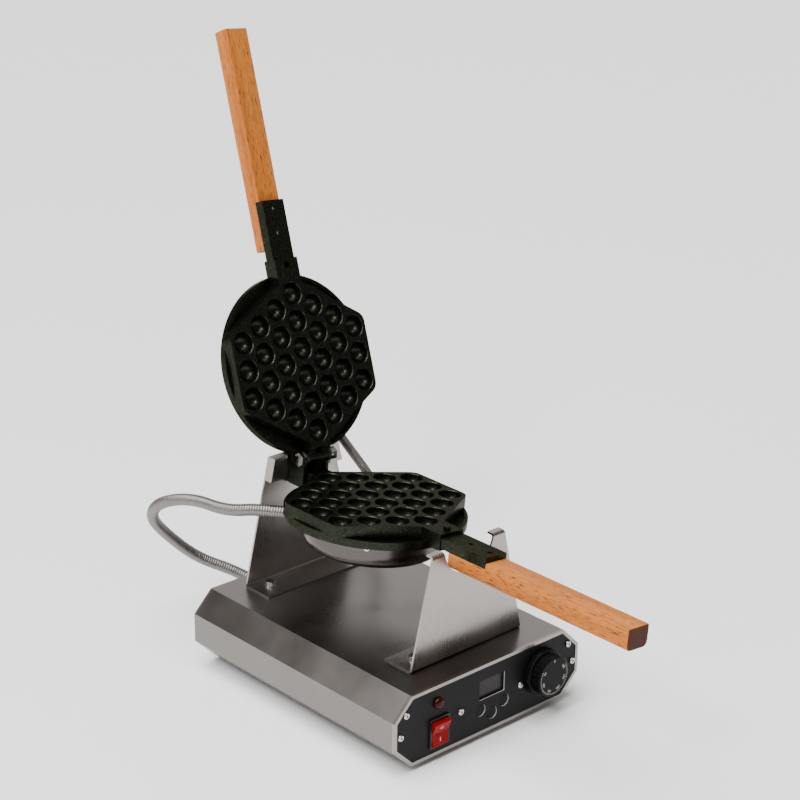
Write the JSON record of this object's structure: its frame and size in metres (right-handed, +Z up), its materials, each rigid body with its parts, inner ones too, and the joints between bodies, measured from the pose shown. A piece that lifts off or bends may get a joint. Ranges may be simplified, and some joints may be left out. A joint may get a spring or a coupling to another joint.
{
  "type": "bubble waffle maker",
  "caption": "Hinged pair of round-celled waffle moulds with wooden handles, turning between two sheet stands on a box base with controls.",
  "frame": {"origin": "on the table, under the middle of the whole object's box without its hoses", "axes": "+Z up, -Y towards the control panel and the handles, +X to the right seen from the panel"},
  "size_m": [0.2535, 0.6356, 0.6246],
  "materials": {
    "stainless": "brushed satin stainless sheet",
    "bright_steel": "bright plated steel",
    "dark_steel": "dark machined steel",
    "black_panel": "satin black",
    "black_plastic": "matte moulded",
    "knob_plastic": "semi gloss moulded",
    "button_plastic": "matte moulded",
    "red_plastic": "glossy translucent red",
    "lamp_lens": "glossy lens",
    "display_glass": "dark window",
    "circuit_board": "matte laminate",
    "white_plastic": "matte moulded",
    "brass": "turned",
    "rubber": "matte",
    "coated_aluminium": "dark non-stick coating with a green sheen",
    "insulation": "pressed mineral fibre",
    "beech": "turned and lightly oiled",
    "hose_steel": "wound stainless strip"
  },
  "bodies": {
    "base": {"base_shell": "stainless", "bottom_plate": "stainless", "front_frame": "stainless", "control_panel": "black_panel", "rear_panel": "stainless", "rubber_feet": "rubber", "foot_screws": "bright_steel", "bottom_plate_screws": "bright_steel", "panel_screws": "bright_steel", "rear_panel_screws": "bright_steel", "switch_housing": "black_plastic", "heat_lamp": "lamp_lens", "heat_lamp_nut": "bright_steel", "timer_display": "black_plastic", "timer_glass": "display_glass", "timer_board": "circuit_board", "timer_posts": "brass", "dial_ring": "bright_steel", "thermostat_body": "black_plastic", "terminal_block": "white_plastic", "contactor": "white_plastic", "base_hose_glands": "bright_steel", "power_inlet_gland": "black_plastic", "gland_nuts": "bright_steel", "front_stand": "stainless", "rear_stand": "stainless", "stand_bolts": "bright_steel", "stand_washers": "bright_steel", "stand_nuts": "bright_steel", "swivel_bush": "brass", "lower_hose": "hose_steel", "upper_hose_lid_end": "hose_steel", "upper_hose_base_end": "hose_steel"},
    "moulds": {"swivel_yoke": "dark_steel", "spindle_nut": "bright_steel", "yoke_screws": "bright_steel", "hinge_bolt": "bright_steel", "hinge_nut": "bright_steel", "lower_mould": "coated_aluminium", "lower_heater": "dark_steel", "lower_insulation": "insulation", "lower_cover": "stainless", "lower_cover_screws": "bright_steel", "lower_hose_gland": "bright_steel", "lower_handle": "beech", "lower_handle_screws": "bright_steel"},
    "lid": {"upper_mould": "coated_aluminium", "upper_heater": "dark_steel", "upper_insulation": "insulation", "upper_cover": "stainless", "upper_cover_screws": "bright_steel", "upper_hose_gland": "bright_steel", "upper_handle": "beech", "upper_handle_screws": "bright_steel"},
    "rocker": {"power_rocker": "red_plastic"},
    "knob": {"temperature_knob": "knob_plastic"},
    "button_left": {"timer_button_left": "button_plastic"},
    "button_middle": {"timer_button_middle": "button_plastic"},
    "button_right": {"timer_button_right": "button_plastic"}
  },
  "joints": [
    {"name": "mould_roll", "type": "hinge", "parent": "base", "child": "moulds", "pos_m": [0, 0.14872, 0.1993], "axis": [0, 1, 0], "range_deg": [-10, 0], "deforming": ["lower_hose", "upper_hose_base_end"]},
    {"name": "lid_hinge", "type": "hinge", "parent": "moulds", "child": "lid", "pos_m": [0.00137, 0.12822, 0.21323], "axis": [-0.9952, 0, 0.0976], "range_deg": [-113, 0], "deforming": ["upper_hose_lid_end"]},
    {"name": "power_switch", "type": "hinge", "parent": "base", "child": "rocker", "pos_m": [-0.067, -0.13018, 0.031], "axis": [1, 0, 0], "range_deg": [-18, 0]},
    {"name": "temperature_dial", "type": "hinge", "parent": "base", "child": "knob", "pos_m": [0.0715, -0.14128, 0.047], "axis": [0, 1, 0], "range_deg": [0, 300]},
    {"name": "button_left_push", "type": "slide", "parent": "base", "child": "button_left", "axis": [0, 1, 0], "range_m": [0, 0.0015], "stiffness_N_per_m": 400, "springref_m": -0.0015},
    {"name": "button_middle_push", "type": "slide", "parent": "base", "child": "button_middle", "axis": [0, 1, 0], "range_m": [0, 0.0015], "stiffness_N_per_m": 400, "springref_m": -0.0015},
    {"name": "button_right_push", "type": "slide", "parent": "base", "child": "button_right", "axis": [0, 1, 0], "range_m": [0, 0.0015], "stiffness_N_per_m": 400, "springref_m": -0.0015}
  ]
}
